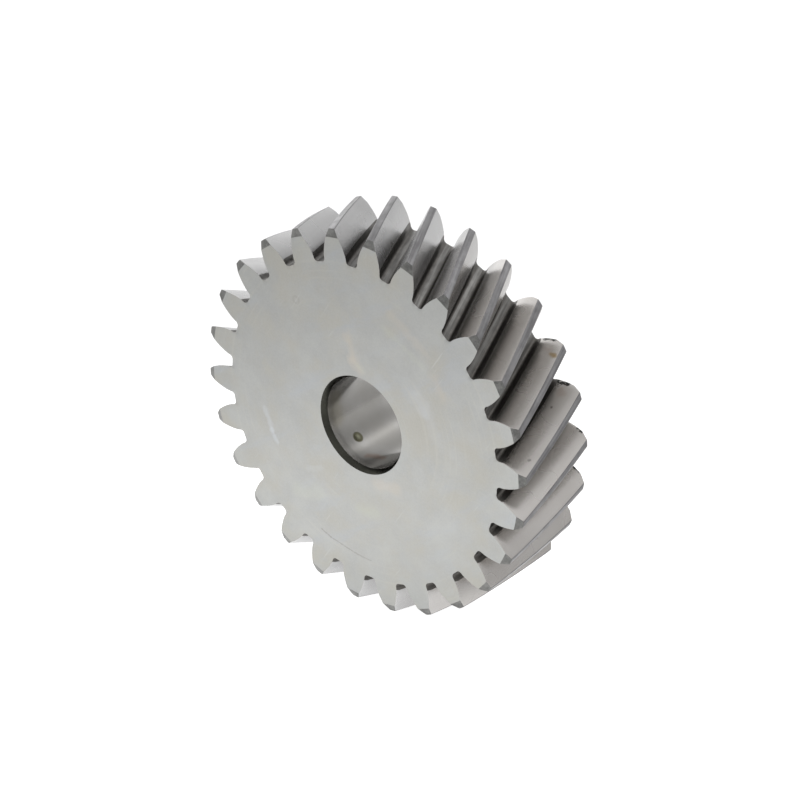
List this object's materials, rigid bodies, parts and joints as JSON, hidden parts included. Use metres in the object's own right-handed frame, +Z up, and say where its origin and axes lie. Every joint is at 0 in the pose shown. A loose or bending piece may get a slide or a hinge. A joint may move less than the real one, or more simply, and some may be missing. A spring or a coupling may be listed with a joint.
{
  "type": "helical gear",
  "caption": "Helical gear with a plain through bore: carries torque between parallel shafts, quietly, through angled teeth.",
  "frame": {"origin": "on the bore axis, half way between the two flat faces, which is the centre of the gear's box", "axes": "+Y along the bore axis from the front face to the rear face, so the front face looks along -Y; +Z up with the gear standing on its rim"},
  "size_m": [0.1258, 0.0306, 0.1258],
  "materials": {
    "ground_steel": "bare hardened steel, flanks and bore ground, faces fine turned, thin film of oil"
  },
  "bodies": {
    "root": {"helical_gear": "ground_steel"}
  },
  "joints": []
}
